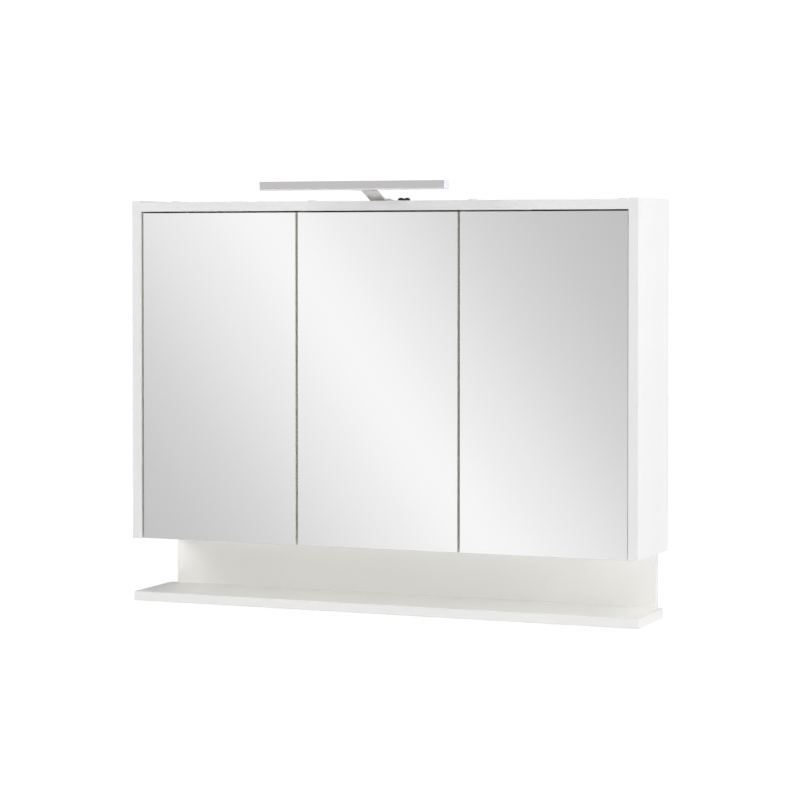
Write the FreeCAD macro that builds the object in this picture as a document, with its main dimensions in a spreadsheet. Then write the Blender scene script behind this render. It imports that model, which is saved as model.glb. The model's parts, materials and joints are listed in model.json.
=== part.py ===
import FreeCAD, Part
import math
import os

import Sketcher

# Hanging wall cabinet with three mirror doors, an LED lamp and an open lower shelf.
# Row frame in millimetres: X to the right, Y back to the wall, Z up. The origin is the centre of the four
# screw holes of the two wall plates, on the wall plane.

SIZES = {
    # carcass
    "width": 900, "side_height": 577, "depth": 173, "board": 16,
    "hang_drop": 60, "top_step": 2.2, "partition_place": 144.7,
    "hardboard": 3, "groove_depth": 6, "strip_clear": 14, "strip_rise": 96,
    "strip_shoulder": 3, "shelf_drop": 108, "shelf_front": 5,
    # doors
    "left_gap": 3.7, "door_gap": 4.1, "right_gap": 1.7, "door_top_gap": 2.6, "door_lift": 0.6,
    "door_recess": 3, "mirror_thick": 4, "door_board": 16, "inner_step": 3,
    # concealed hinges
    "hinge_inset": 80, "cup_radius": 17.4, "cup_depth": 12.8, "cup_wall": 1.1, "cup_place": 22.5,
    "cup_pin_in": 13.2, "cup_pin_deep": 17.2, "arm_pin_in": 32.4, "arm_pin_deep": 29,
    "hinge_pin_radius": 1.5, "pin_play": 0.05, "link_height": 12, "link_thick": 2.4, "arm_height": 16,
    # glass shelves
    "glass_thick": 5, "glass_low": -330, "glass_high": -160, "glass_side_gap": 1.5, "shelf_pin_radius": 2.5,
    # joinery
    "cam_radius": 7.5, "cam_depth": 12.5, "cam_inset": 32, "cap_place": 102, "dowel_radius": 4,
    "screw_radius": 2.5, "screw_head_radius": 5,
    # hanging hardware
    "hole_place": 400, "hole_rise": 10, "hole_radius": 3.2, "hanger_thick": 18,
    # lamp
    "lamp_length": 325, "lamp_front": 276, "lamp_depth": 20, "lamp_low": 73.8, "lamp_top": 87.8,
    "diffuser_drop": 2.5, "lamp_wall": 1.5, "lamp_cap": 1.5, "bracket_width": 28, "bracket_thick": 2,
    "lead_radius": 1.1,
}

doc = FreeCAD.newDocument("wall_cabinet")
sheet = doc.addObject("Spreadsheet::Sheet", "dims")
for row, (alias, value) in enumerate(SIZES.items(), start=1):
    sheet.set(f"A{row}", alias)
    sheet.set(f"B{row}", str(value))
    sheet.setAlias(f"B{row}", alias)
doc.recompute()


class Size:
    """A length that knows both its value and the sheet expression that gives it."""

    def __init__(self, value, text):
        self.value = value
        self.text = text

    def __add__(self, other):
        other = as_size(other)
        return Size(self.value + other.value, f"({self.text} + {other.text})")

    def __sub__(self, other):
        other = as_size(other)
        return Size(self.value - other.value, f"({self.text} - {other.text})")

    def __mul__(self, factor):
        return Size(self.value * factor, f"({self.text} * {factor:.9f})")

    def __truediv__(self, factor):
        return Size(self.value / factor, f"({self.text} / {factor:.9f})")

    def __neg__(self):
        return self * -1

    __radd__ = __add__
    __rmul__ = __mul__

    def __rsub__(self, other):
        return as_size(other) - self


def as_size(number):
    return number if isinstance(number, Size) else Size(float(number), f"{float(number):.6f}")


def dim(alias):
    """The driving dimension of that name, as a Size."""
    return Size(float(sheet.get(alias)), f"dims.{alias}")


def bind(thing, prop, size):
    thing.setExpression(prop, as_size(size).text)


def place(thing, x, y, z):
    for axis, size in zip("xyz", (x, y, z)):
        bind(thing, f"Placement.Base.{axis}", size)


AXIS_TURNS = {
    "X": FreeCAD.Rotation(FreeCAD.Vector(0, 1, 0), 90),
    "Y": FreeCAD.Rotation(FreeCAD.Vector(1, 0, 0), -90),
    "Z": FreeCAD.Rotation(),
}
OWN_PLANES = {"X": "YZ_Plane", "Y": "XZ_Plane", "Z": "XY_Plane"}
finished = []


def box(x_span, y_span, z_span, label="block"):
    """A block between two places along each axis."""
    made = doc.addObject("Part::Box", label)
    spans = (x_span, y_span, z_span)
    place(made, *(span[0] for span in spans))
    for prop, (low, high) in zip(("Length", "Width", "Height"), spans):
        bind(made, prop, as_size(high) - low)
    return made


def rod(axis, centre, span, radius, label="rod"):
    """A cylinder along an axis, with its centre line through two coordinates and its ends at span.
    centre holds the other two coordinates in X, Y, Z order."""
    low, high = span
    made = doc.addObject("Part::Cylinder", label)
    made.Placement = FreeCAD.Placement(FreeCAD.Vector(), AXIS_TURNS[axis])
    base = list(centre)
    base.insert("XYZ".index(axis), low)
    place(made, *base)
    bind(made, "Radius", radius)
    bind(made, "Height", as_size(high) - low)
    return made


def cone(axis_z_at, z_span, low_radius, high_radius, label="cone"):
    made = doc.addObject("Part::Cone", label)
    low, high = z_span
    place(made, *axis_z_at, low)
    bind(made, "Radius1", low_radius)
    bind(made, "Radius2", high_radius)
    bind(made, "Height", as_size(high) - low)
    return made


def together(things, label="group"):
    """Several separate solids as one compound."""
    made = doc.addObject("Part::Compound", label)
    made.Links = list(things)
    return made


def joined(things, label="joined"):
    made = doc.addObject("Part::MultiFuse", label)
    made.Shapes = list(things)
    return made


def less(base, cutters, label="cut"):
    """The base with every cutter taken away."""
    made = doc.addObject("Part::Cut", label)
    made.Base = base
    made.Tool = cutters[0] if len(cutters) == 1 else together(cutters)
    return made


RECESS_THIN = 0.45
RECESS_SHARE = 0.6


def cross_recess(axis, centre, face, way, radius):
    """The two crossed slots of a screw's recess, cut from its outer face inwards (way 1 or -1)."""
    deep = radius * RECESS_SHARE
    inner_end = as_size(face) + deep * way
    along_span = (face, inner_end) if way > 0 else (inner_end, face)
    reach = radius * RECESS_SHARE
    slots = []
    for half_sizes in ((reach, RECESS_THIN), (RECESS_THIN, reach)):
        spans = [(as_size(at) - h, as_size(at) + h) for at, h in zip(centre, half_sizes)]
        spans.insert("XYZ".index(axis), along_span)
        slots.append(box(*spans, label="recess"))
    return slots


def screw(axis, centre, head_face, way, shank, head, length):
    """A screw running from its head's outer face in the direction way (1 or -1) along the axis.
    shank and head are radii, and length is (head, whole screw)."""
    face = as_size(head_face)
    neck = face + length[0] * way
    point = face + length[1] * way
    head_span = (face, neck) if way > 0 else (neck, face)
    shank_span = (neck, point) if way > 0 else (point, neck)
    whole = joined([rod(axis, centre, head_span, head), rod(axis, centre, shank_span, shank)])
    return less(whole, cross_recess(axis, centre, face, way, head))


def bores_for(screws):
    """The same screws without their recesses, to cut the holes that they sit in."""
    return [one.Base for one in screws]


def finish(label, thing):
    """Gives a sub-part its own label, which names its file."""
    thing.Label = label
    finished.append(thing)
    return thing


def outline(sketch, points):
    """A closed outline with both coordinates of each corner bound to the sheet."""
    corners = [(as_size(a), as_size(b)) for a, b in points]
    vectors = [FreeCAD.Vector(a.value, b.value, 0) for a, b in corners]
    for index, start in enumerate(vectors):
        sketch.addGeometry(Part.LineSegment(start, vectors[(index + 1) % len(vectors)]))
    for index in range(len(vectors)):
        sketch.addConstraint(
            Sketcher.Constraint("Coincident", index, 2, (index + 1) % len(vectors), 1)
        )
    for index, corner in enumerate(corners):
        for kind, size in zip(("DistanceX", "DistanceY"), corner):
            added = sketch.addConstraint(Sketcher.Constraint(kind, -1, 1, index, 1, size.value))
            sketch.setExpression(f"Constraints[{added}]", size.text)


def pad(axis, points, span, label="profile"):
    """A PartDesign body: an outline on the plane across the axis, padded over the span.
    The outline's coordinates are the other two, in X, Y, Z order."""
    body = doc.addObject("PartDesign::Body", label)
    plane = next(part for part in body.Origin.OriginFeatures if part.Role == OWN_PLANES[axis])
    sketch = body.newObject("Sketcher::SketchObject", "outline")
    sketch.AttachmentSupport = (plane, [""])
    sketch.MapMode = "FlatFace"
    outline(sketch, points)
    low, high = (as_size(end) for end in span)
    # The plane across Y has its normal towards -Y, so there the pad starts from the far end.
    bind(sketch, "AttachmentOffset.Base.z", -high if axis == "Y" else low)
    feature = body.newObject("PartDesign::Pad", "pad")
    feature.Profile = sketch
    bind(feature, "Length", high - low)
    body.Tip = feature
    return body


# ---------------------------------------------------------------- carcass planes
half = dim("width") / 2
inner = half - dim("board")
side_top = dim("hang_drop")
side_bottom = side_top - dim("side_height")
front = -dim("depth")
top_face = side_top - dim("top_step")
top_under = top_face - dim("board")
floor_face = side_bottom + dim("board")
strip_back = -dim("strip_clear")
strip_front = strip_back - dim("board")
back_front = strip_front - dim("hardboard")
door_front = front + dim("door_recess")
board_front = door_front + dim("mirror_thick")
door_back = board_front + dim("door_board")
inside_front = door_back + dim("inner_step")
door_top = top_under - dim("door_top_gap")
door_bottom = side_bottom + dim("door_lift")
shelf_bottom = side_bottom - dim("shelf_drop")
half_board = dim("board") / 2
partition_x = dim("partition_place")
cap_y = -dim("cap_place")
HANDS = {"left": -1, "right": 1}


def hand_span(hand, near, far):
    """An X span between two distances from the middle, on the left (-1) or right (1)."""
    near, far = as_size(near), as_size(far)
    return (near, far) if hand > 0 else (-far, -near)


# ---------------------------------------------------------------- joinery
DOWEL_IN_END = 19
DOWEL_IN_FACE = 11
BOLT_IN_SIDE = 11
PANEL_SCREW_LENGTH = (7, 50)
CAP_RADIUS = 8.3
CAP_RIM = 1.2
CAP_TALL = 2.5
CAP_SLOPE = 1.8
FLOOR_CAM_Y = -90
STRIP_CAM_RISE = 40
STRIP_DOWELS_RISE = (20, 65)
TOP_DOWELS_Y = (-140, -60)
FLOOR_DOWELS_Y = (-130, -50)
CAM_TO_BOLT = 4

cam_x = inner - dim("cam_inset")
top_middle = top_under + half_board
floor_middle = side_bottom + half_board
strip_middle_y = strip_front + half_board
strip_cam_z = floor_face + STRIP_CAM_RISE
strip_dowels_z = tuple(floor_face + rise for rise in STRIP_DOWELS_RISE)


def cams_and_bolts():
    cams, bolts = [], []
    for hand in HANDS.values():
        centre_x = cam_x * hand
        bolt_span = hand_span(hand, cam_x + CAM_TO_BOLT, inner + BOLT_IN_SIDE)
        for y, z, deep in (
            (cap_y, top_middle, (top_face - dim("cam_depth"), top_face)),
            (FLOOR_CAM_Y, floor_middle, (floor_face - dim("cam_depth"), floor_face)),
        ):
            bolt = rod("X", (y, z), bolt_span, dim("screw_radius"))
            bolts.append(bolt)
            cams.append(less(rod("Z", (centre_x, y), deep, dim("cam_radius")), [bolt]))
        bolt = rod("X", (strip_middle_y, strip_cam_z), bolt_span, dim("screw_radius"))
        bolts.append(bolt)
        deep = (strip_back - dim("cam_depth"), strip_back)
        cams.append(less(rod("Y", (centre_x, strip_cam_z), deep, dim("cam_radius")), [bolt]))
    return cams, bolts


def dowels():
    made = []
    radius = dim("dowel_radius")
    for hand in HANDS.values():
        across = hand_span(hand, inner - DOWEL_IN_END, inner + DOWEL_IN_FACE)
        for y in TOP_DOWELS_Y:
            made.append(rod("X", (y, top_middle), across, radius))
        for y in FLOOR_DOWELS_Y:
            made.append(rod("X", (y, floor_middle), across, radius))
        for z in strip_dowels_z:
            made.append(rod("X", (strip_middle_y, z), across, radius))
        for y in TOP_DOWELS_Y:
            span = (top_under - DOWEL_IN_END, top_under + DOWEL_IN_FACE)
            made.append(rod("Z", (partition_x * hand, y), span, radius))
        for y in FLOOR_DOWELS_Y:
            span = (floor_face - DOWEL_IN_FACE, floor_face + DOWEL_IN_END)
            made.append(rod("Z", (partition_x * hand, y), span, radius))
    return made


def panel_screw(axis, centre, head_end, way):
    """A panel screw with its head flush at head_end, running in the direction way (1 or -1)."""
    radii = (SIZES["screw_radius"], SIZES["screw_head_radius"])
    return screw(axis, centre, head_end, way, *radii, PANEL_SCREW_LENGTH)


def cover_cap(x):
    low_part = rod("Z", (x, cap_y), (top_face, top_face + CAP_RIM), CAP_RADIUS)
    crown_span = (top_face + CAP_RIM, top_face + CAP_TALL)
    crown = cone((x, cap_y), crown_span, CAP_RADIUS, CAP_RADIUS - CAP_SLOPE)
    return joined([low_part, crown])


cams, bolts = cams_and_bolts()
cam_housings = finish("cam_housings", together(cams))
cam_bolts = finish("cam_bolts", together(bolts))
carcass_dowels = finish("carcass_dowels", together(dowels()))
partition_screws = [
    panel_screw("Z", (partition_x * hand, cap_y), end, way)
    for hand in HANDS.values()
    for end, way in ((top_face, -1), (side_bottom, 1))
]
finish("partition_screws", together(partition_screws))
partition_bores = together(bores_for(partition_screws))
SHELF_SCREWS_X = (-390, -130, 130, 390)
shelf_screws = [
    panel_screw("Y", (x, shelf_bottom + half_board), strip_back, -1) for x in SHELF_SCREWS_X
]
finish("shelf_screws", together(shelf_screws))
shelf_bores = together(bores_for(shelf_screws))
finish("cam_cover_caps", together([
    cover_cap(x) for x in (-cam_x, -partition_x, partition_x, cam_x)
]))

# ---------------------------------------------------------------- glass shelves and their pins
GLASS_FRONT_Y = -135
GLASS_BACK_Y = -38
PIN_PLACES_Y = (-120, -55)
PIN_IN_BOARD = 7
PIN_OUT = 8
COMPARTMENTS = {
    "left": (-inner, -(partition_x + half_board)),
    "middle": (-(partition_x - half_board), partition_x - half_board),
    "right": (partition_x + half_board, inner),
}


def glass_shelf(span, z):
    gap = dim("glass_side_gap")
    width = (span[0] + gap, span[1] - gap)
    return box(width, (GLASS_FRONT_Y, GLASS_BACK_Y), (z, z + dim("glass_thick")))


def pins_for(span):
    made = []
    radius = dim("shelf_pin_radius")
    for z in (dim("glass_low"), dim("glass_high")):
        for y in PIN_PLACES_Y:
            centre = (y, z - radius)
            made.append(rod("X", centre, (span[0] - PIN_IN_BOARD, span[0] + PIN_OUT), radius))
            made.append(rod("X", centre, (span[1] - PIN_OUT, span[1] + PIN_IN_BOARD), radius))
    return made


for side, span in COMPARTMENTS.items():
    shelves = [glass_shelf(span, z) for z in (dim("glass_low"), dim("glass_high"))]
    finish(f"glass_shelves_{side}", together(shelves))
shelf_pins = finish("shelf_pins", together([
    pin for span in COMPARTMENTS.values() for pin in pins_for(span)
]))

# ---------------------------------------------------------------- panels
groove_y = (back_front, strip_front)
groove_z = (floor_face - dim("groove_depth"), top_under + dim("groove_depth"))
for side, hand in HANDS.items():
    blank = box(hand_span(hand, inner, half), (front, 0), (side_bottom, side_top))
    groove = box(hand_span(hand, inner, inner + dim("groove_depth")), groove_y, groove_z)
    finish(f"side_panel_{side}", less(blank, [groove, cam_bolts, carcass_dowels, shelf_pins]))

LEAD_Y = -38
LEAD_HOLE_Y = -39.2
LEAD_HOLE_RADIUS = 2.6
lead_hole = rod("Z", (0, LEAD_HOLE_Y), (top_under, top_face), LEAD_HOLE_RADIUS)
top_blank = box((-inner, inner), (front, 0), (top_under, top_face))
top_groove = box((-inner, inner), groove_y, (top_under, top_under + dim("groove_depth")))
BRACKET_SCREWS_X = (-8, 8)
BRACKET_SCREW_Y = -134
BRACKET_SCREW_RADII = (2, 3.6)
BRACKET_SCREW_LENGTH = (1.8, 14)
bracket_screws = [
    screw("Z", (x, BRACKET_SCREW_Y), top_face + dim("bracket_thick") + BRACKET_SCREW_LENGTH[0], -1,
          *BRACKET_SCREW_RADII, BRACKET_SCREW_LENGTH)
    for x in BRACKET_SCREWS_X
]
CLAMP_SCREWS_X = 5.6
CLAMP_Y = -46
CLAMP_TALL = 5.8
CLAMP_HALF_WIDE = 9.2
CLAMP_HALF_DEEP = 5
CLAMP_SCREW_RADII = (1.5, 3)
CLAMP_SCREW_LENGTH = (1.2, 16.2)
clamp_screws = [
    screw("Z", (x, CLAMP_Y), top_face + CLAMP_TALL + CLAMP_SCREW_LENGTH[0], -1,
          *CLAMP_SCREW_RADII, CLAMP_SCREW_LENGTH)
    for x in (-CLAMP_SCREWS_X, CLAMP_SCREWS_X)
]
finish("top_panel", less(top_blank, [
    top_groove, cam_housings, cam_bolts, carcass_dowels, partition_bores, lead_hole,
    *bores_for(bracket_screws), *bores_for(clamp_screws),
]))
floor_blank = box((-inner, inner), (inside_front, strip_front), (side_bottom, floor_face))
floor_groove = box((-inner, inner), groove_y, (floor_face - dim("groove_depth"), floor_face))
finish("bottom_panel", less(floor_blank, [
    floor_groove, cam_housings, cam_bolts, carcass_dowels, partition_bores,
]))
for side, hand in HANDS.items():
    span = hand_span(hand, partition_x - half_board, partition_x + half_board)
    blank = box(span, (inside_front, back_front), (floor_face, top_under))
    finish(f"partition_{side}", less(blank, [carcass_dowels, partition_bores, shelf_pins]))

NOTCH_LOW = 28
NOTCH_HALF = 12
NOTCH_SPARE = 8
HANGER_X = 425
panel_half = inner + dim("groove_depth")
panel_blank = box((-panel_half, panel_half), groove_y, groove_z)
notch_z = (NOTCH_LOW, top_under + NOTCH_SPARE)
notches = [
    box(hand_span(hand, HANGER_X - NOTCH_HALF, inner + NOTCH_SPARE), groove_y, notch_z)
    for hand in HANDS.values()
]
finish("back_panel", less(panel_blank, notches))
strip_top = floor_face + dim("strip_rise") - dim("board")
# Below the sides the strip is a little wider; its shoulders stop against their lower edges.
shoulder = inner + dim("strip_shoulder")
strip_blank = pad("Y", [
    (-shoulder, shelf_bottom),
    (shoulder, shelf_bottom),
    (shoulder, side_bottom),
    (inner, side_bottom),
    (inner, strip_top),
    (-inner, strip_top),
    (-inner, side_bottom),
    (-shoulder, side_bottom),
], (strip_front, strip_back), "strip_blank")
finish("back_strip", less(strip_blank, [cam_housings, cam_bolts, carcass_dowels, shelf_bores]))
shelf_y = (front + dim("shelf_front"), strip_front)
shelf_blank = box((-half, half), shelf_y, (shelf_bottom, shelf_bottom + dim("board")))
finish("lower_shelf", less(shelf_blank, [shelf_bores]))

# ---------------------------------------------------------------- hangers and wall plates
HOOK_THICK = 4
HOOK_ARM_Z = (31, 36)
HOOK_TIP_Z = 22
HOOK_TIP_Y = (-5.2, -2.2)
HOOK_START_Y = -80
HANGER_FRONT_Y = -93
HANGER_Z = (-2, 38)
SETTING_SCREWS_Z = (6, 20)
SETTING_SCREW_RADII = (2.5, 4)
SETTING_SCREW_LENGTH = (2, 42)
PLATE_HALF_WIDTH = 30
PLATE_HOLE_Y = (-3, 1)
# A wall plate's section: flat on the wall below, set forward above so that the hook drops in behind it.
PLATE_SECTION = ((0, -20), (0, 17), (-6, 20.5), (-6, 30), (-8, 30), (-8, 19.5), (-2, 16), (-2, -20))

hooks, housings, setting_screws, plates = [], [], [], []
for hand in HANDS.values():
    hook_span = hand_span(hand, HANGER_X - HOOK_THICK / 2, HANGER_X + HOOK_THICK / 2)
    hook = pad("X", [
        (HOOK_START_Y, HOOK_ARM_Z[0]),
        (HOOK_TIP_Y[0], HOOK_ARM_Z[0]),
        (HOOK_TIP_Y[0], HOOK_TIP_Z),
        (HOOK_TIP_Y[1], HOOK_TIP_Z),
        (HOOK_TIP_Y[1], HOOK_ARM_Z[1]),
        (HOOK_START_Y, HOOK_ARM_Z[1]),
    ], hook_span)
    hooks.append(hook)
    screws = [
        screw("Y", (HANGER_X * hand, z), HANGER_FRONT_Y - SETTING_SCREW_LENGTH[0], 1,
              *SETTING_SCREW_RADII, SETTING_SCREW_LENGTH)
        for z in SETTING_SCREWS_Z
    ]
    setting_screws.extend(screws)
    block = box(hand_span(hand, inner - dim("hanger_thick"), inner), (HANGER_FRONT_Y, back_front), HANGER_Z)
    housings.append(less(block, [hook, *bores_for(screws)]))
    plate_x = hand_span(hand, dim("hole_place") - PLATE_HALF_WIDTH, dim("hole_place") + PLATE_HALF_WIDTH)
    plate = pad("X", PLATE_SECTION, plate_x)
    hole_x = dim("hole_place") * hand
    holes = [
        rod("Y", (hole_x, dim("hole_rise") * way), PLATE_HOLE_Y, dim("hole_radius"))
        for way in (-1, 1)
    ]
    plates.append(less(plate, holes))
finish("hanger_hooks", together(hooks))
finish("hanger_setting_screws", together(setting_screws))
finish("hanger_housings", together(housings))
finish("wall_plates", together(plates))

# ---------------------------------------------------------------- doors and concealed hinges
# Each door is described from its front corner on the hinge side: "in" runs towards its free edge and
# "deep" runs back from the mirror's face.
FLANGE_THICK = 1.2
FLANGE_RADIUS = 19
CUP_FLOOR = 1
CUP_BORE_PLAY = 0.1
CUP_BORE_SPARE = 0.2
CUP_PIN_HALF = 13.9
CUP_SCREW_RADII = (2, 3.6)
CUP_SCREW_LENGTH = (1.4, 12.6)
WING_HALF_WIDTH = 7
WING_HALF_HEIGHT = 31
CUP_SCREWS_Z = 24
PLATE_THICK = 3
PLATE_DEEP = (42, 88)
PLATE_HALF_HEIGHT = 24
PLATE_SCREWS_Z = 16
PLATE_SCREWS_DEEP = 76
PLATE_SCREW_RADII = (2, 3.6)
PLATE_SCREW_LENGTH = (1.4, 11.4)
ARM_THICK = 12
ARM_EYE = 4
NOSE_BACK = 3
NOSE_FLAT = 2
NOSE_HEEL = 1
ARM_SHOULDERS = (15, 18)
FORK_HALF = 6.3
FORK_IN = (-12, 8)
FORK_DEEP = (-8, 7.5)
EYE_RADIUS = 2.6
LINK_MARGIN = 2
hinge_heights = (door_top - dim("hinge_inset"), door_bottom + dim("hinge_inset"))
cup_inner = dim("cup_radius") - dim("cup_wall")
cup_back = door_back
cup_front = door_back - dim("cup_depth")
arm_pin_y = door_front + dim("arm_pin_deep")
cup_pin_y = door_front + dim("cup_pin_deep")

# The link is half a ring between its two pins; its bow keeps clear of the cup's rim and the door's corner.
pin_step_in = SIZES["cup_pin_in"] - SIZES["arm_pin_in"]
pin_step_deep = SIZES["cup_pin_deep"] - SIZES["arm_pin_deep"]
pin_distance = math.hypot(pin_step_in, pin_step_deep)
LINK_RISE = 1.08
ring_radius = math.hypot(pin_distance / 2, LINK_RISE)
along = (pin_step_in / pin_distance, pin_step_deep / pin_distance)
across = (-along[1], along[0])
ring_in = SIZES["arm_pin_in"] + along[0] * pin_distance / 2 + across[0] * LINK_RISE
ring_deep = SIZES["arm_pin_deep"] + along[1] * pin_distance / 2 + across[1] * LINK_RISE


class Door:
    """One door's places: its free and hinge edges in X, and the board that carries its hinges."""

    def __init__(self, label, hinge_edge, free_edge, wall_in):
        self.label = label
        self.hinge_edge = as_size(hinge_edge)
        self.way = 1 if as_size(free_edge).value > self.hinge_edge.value else -1
        self.x_span = (hinge_edge, free_edge) if self.way > 0 else (free_edge, hinge_edge)
        self.wall_in = as_size(wall_in)

    def x(self, distance_in):
        return self.hinge_edge + as_size(distance_in) * self.way

    def x_between(self, near, far):
        return (self.x(near), self.x(far)) if self.way > 0 else (self.x(far), self.x(near))


# Three equal doors, hung a little to the right: the gap is wider at the left side than at the right.
gaps_across = dim("left_gap") + dim("door_gap") * 2 + dim("right_gap")
door_width = (inner * 2 - gaps_across) / 3
left_door_x = -inner + dim("left_gap")
middle_door_x = left_door_x + door_width + dim("door_gap")
right_door_x = middle_door_x + door_width + dim("door_gap")
DOORS = (
    Door(
        "left",
        hinge_edge=left_door_x,
        free_edge=left_door_x + door_width,
        wall_in=-dim("left_gap"),
    ),
    Door(
        "middle",
        hinge_edge=middle_door_x,
        free_edge=middle_door_x + door_width,
        wall_in=-(partition_x - half_board) - middle_door_x,
    ),
    Door(
        "right",
        hinge_edge=right_door_x + door_width,
        free_edge=right_door_x,
        wall_in=-dim("right_gap"),
    ),
)


def around(z, half_height):
    return (z - half_height, z + half_height)


def hinge_cup(door, z):
    centre = (door.x(dim("cup_place")), z)
    bowl = rod("Y", centre, (cup_front, cup_back), dim("cup_radius"))
    flange = rod("Y", centre, (cup_back, cup_back + FLANGE_THICK), FLANGE_RADIUS)
    near_wing = dim("cup_place") - WING_HALF_WIDTH
    far_wing = dim("cup_place") + WING_HALF_WIDTH
    flange_y = (cup_back, cup_back + FLANGE_THICK)
    wings = box(door.x_between(near_wing, far_wing), flange_y, around(z, WING_HALF_HEIGHT))
    hollow = rod("Y", centre, (cup_front + CUP_FLOOR, cup_back + FLANGE_THICK * 2), cup_inner)
    return joined([bowl, flange, wings]), hollow


def cup_screws(door, z):
    head_face = cup_back + FLANGE_THICK + CUP_SCREW_LENGTH[0]
    return [
        screw("Y", (door.x(dim("cup_place")), z + CUP_SCREWS_Z * way), head_face, -1,
              *CUP_SCREW_RADII, CUP_SCREW_LENGTH)
        for way in (-1, 1)
    ]


def hinge_link(door, z):
    height = around(z, dim("link_height") / 2)
    ring_centre = (door.x(ring_in), door_front + ring_deep)
    half_thick = dim("link_thick") / 2
    outer_ring = rod("Z", ring_centre, height, ring_radius + half_thick)
    inner_ring = rod("Z", ring_centre, height, ring_radius - half_thick)
    ring = less(outer_ring, [inner_ring])
    pins = [
        (SIZES["arm_pin_in"], SIZES["arm_pin_deep"]),
        (SIZES["cup_pin_in"], SIZES["cup_pin_deep"]),
    ]
    # Only the half of the ring on the bowed side of the line between the pins stays.
    reach = (ring_radius + SIZES["link_thick"]) * 2
    near, far = (
        (pin[0] + along[0] * step, pin[1] + along[1] * step)
        for pin, step in zip(pins, (-LINK_MARGIN, LINK_MARGIN))
    )
    corners = [
        near,
        far,
        (far[0] + across[0] * reach, far[1] + across[1] * reach),
        (near[0] + across[0] * reach, near[1] + across[1] * reach),
    ]
    half_plane = pad("Z", [(door.x(a), door_front + b) for a, b in corners], height)
    bow = doc.addObject("Part::Common", "bow")
    bow.Base = ring
    bow.Tool = half_plane
    eyes = [rod("Z", (door.x(a), door_front + b), height, EYE_RADIUS) for a, b in pins]
    bore_radius = dim("hinge_pin_radius") + dim("pin_play")
    bores = [rod("Z", (door.x(a), door_front + b), height, bore_radius) for a, b in pins]
    return less(joined([bow, *eyes]), bores)


def hinge_arm(door, z):
    base = door.wall_in + PLATE_THICK
    eye_in, eye_deep = dim("arm_pin_in"), dim("arm_pin_deep")
    # From the plate the arm runs forward, then slants to the blunt nose round its pin.
    points = [
        (base, PLATE_DEEP[1]),
        (base, eye_deep + ARM_SHOULDERS[0]),
        (eye_in - NOSE_BACK, eye_deep - ARM_EYE),
        (eye_in + NOSE_FLAT, eye_deep - ARM_EYE),
        (eye_in + ARM_EYE, eye_deep),
        (eye_in + NOSE_HEEL, eye_deep + ARM_EYE),
        (base + ARM_THICK, eye_deep + ARM_SHOULDERS[1]),
        (base + ARM_THICK, PLATE_DEEP[1]),
    ]
    corners = [(door.x(a), door_front + b) for a, b in points]
    body = pad("Z", corners, around(z, dim("arm_height") / 2))
    fork_x = door.x_between(eye_in + FORK_IN[0], eye_in + FORK_IN[1])
    fork_y = tuple(door_front + eye_deep + deep for deep in FORK_DEEP)
    return body, box(fork_x, fork_y, around(z, FORK_HALF))


arm_pins, plate_parts, plate_screws = [], [], []
for door in DOORS:
    mirror = pad("Y", [
        (door.x_span[0], door_bottom),
        (door.x_span[1], door_bottom),
        (door.x_span[1], door_top),
        (door.x_span[0], door_top),
    ], (door_front, board_front), f"mirror_{door.label}_body")
    finish(f"{door.label}_mirror", mirror)
    cups, fasteners, fastener_bores, links, arms = [], [], [], [], []
    for z in hinge_heights:
        screws = cup_screws(door, z)
        cup_pin_place = (door.x(dim("cup_pin_in")), cup_pin_y)
        cup_pin = rod("Z", cup_pin_place, around(z, CUP_PIN_HALF), dim("hinge_pin_radius"))
        fasteners.extend([*screws, cup_pin])
        fastener_bores.extend([*bores_for(screws), cup_pin])
        solid_cup, hollow = hinge_cup(door, z)
        cups.append(less(solid_cup, [hollow, cup_pin, *bores_for(screws)]))
        links.append(hinge_link(door, z))
        arm_pin_place = (door.x(dim("arm_pin_in")), arm_pin_y)
        arm_pin = rod("Z", arm_pin_place, around(z, dim("arm_height") / 2), dim("hinge_pin_radius"))
        arm_pins.append(arm_pin)
        head_face = door.x(door.wall_in + PLATE_THICK + PLATE_SCREW_LENGTH[0])
        plate_screw_pair = [
            screw("X", (door_front + PLATE_SCREWS_DEEP, z + PLATE_SCREWS_Z * side), head_face, -door.way,
                  *PLATE_SCREW_RADII, PLATE_SCREW_LENGTH)
            for side in (-1, 1)
        ]
        plate_screws.extend(plate_screw_pair)
        plate_x = door.x_between(door.wall_in, door.wall_in + PLATE_THICK)
        plate_y = tuple(door_front + deep for deep in PLATE_DEEP)
        plate = box(plate_x, plate_y, around(z, PLATE_HALF_HEIGHT))
        plate_parts.append(less(plate, bores_for(plate_screw_pair)))
        arm, fork = hinge_arm(door, z)
        arms.append(less(arm, [fork, arm_pin]))
    finish(f"{door.label}_hinge_cups", together(cups))
    finish(f"{door.label}_cup_fasteners", together(fasteners))
    finish(f"{door.label}_hinge_links", together(links))
    finish(f"{door.label}_hinge_arms", together(arms))
    board_blank = box(door.x_span, (board_front, door_back), (door_bottom, door_top))
    bore_y = (cup_front - CUP_BORE_SPARE, door_back)
    bores = [
        rod("Y", (door.x(dim("cup_place")), z), bore_y, dim("cup_radius") + CUP_BORE_PLAY)
        for z in hinge_heights
    ]
    finish(f"{door.label}_door_board", less(board_blank, [*bores, *fastener_bores]))
finish("hinge_arm_pins", together(arm_pins))
finish("hinge_plates", together(plate_parts))
finish("hinge_plate_screws", together(plate_screws))
plate_screw_bores = together(bores_for(plate_screws))
# The boards that carry hinges are bored for their plate screws too.
for thing in finished:
    if thing.Label in ("side_panel_left", "side_panel_right", "partition_left"):
        thing.Tool.Links = [*thing.Tool.Links, plate_screw_bores]

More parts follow.
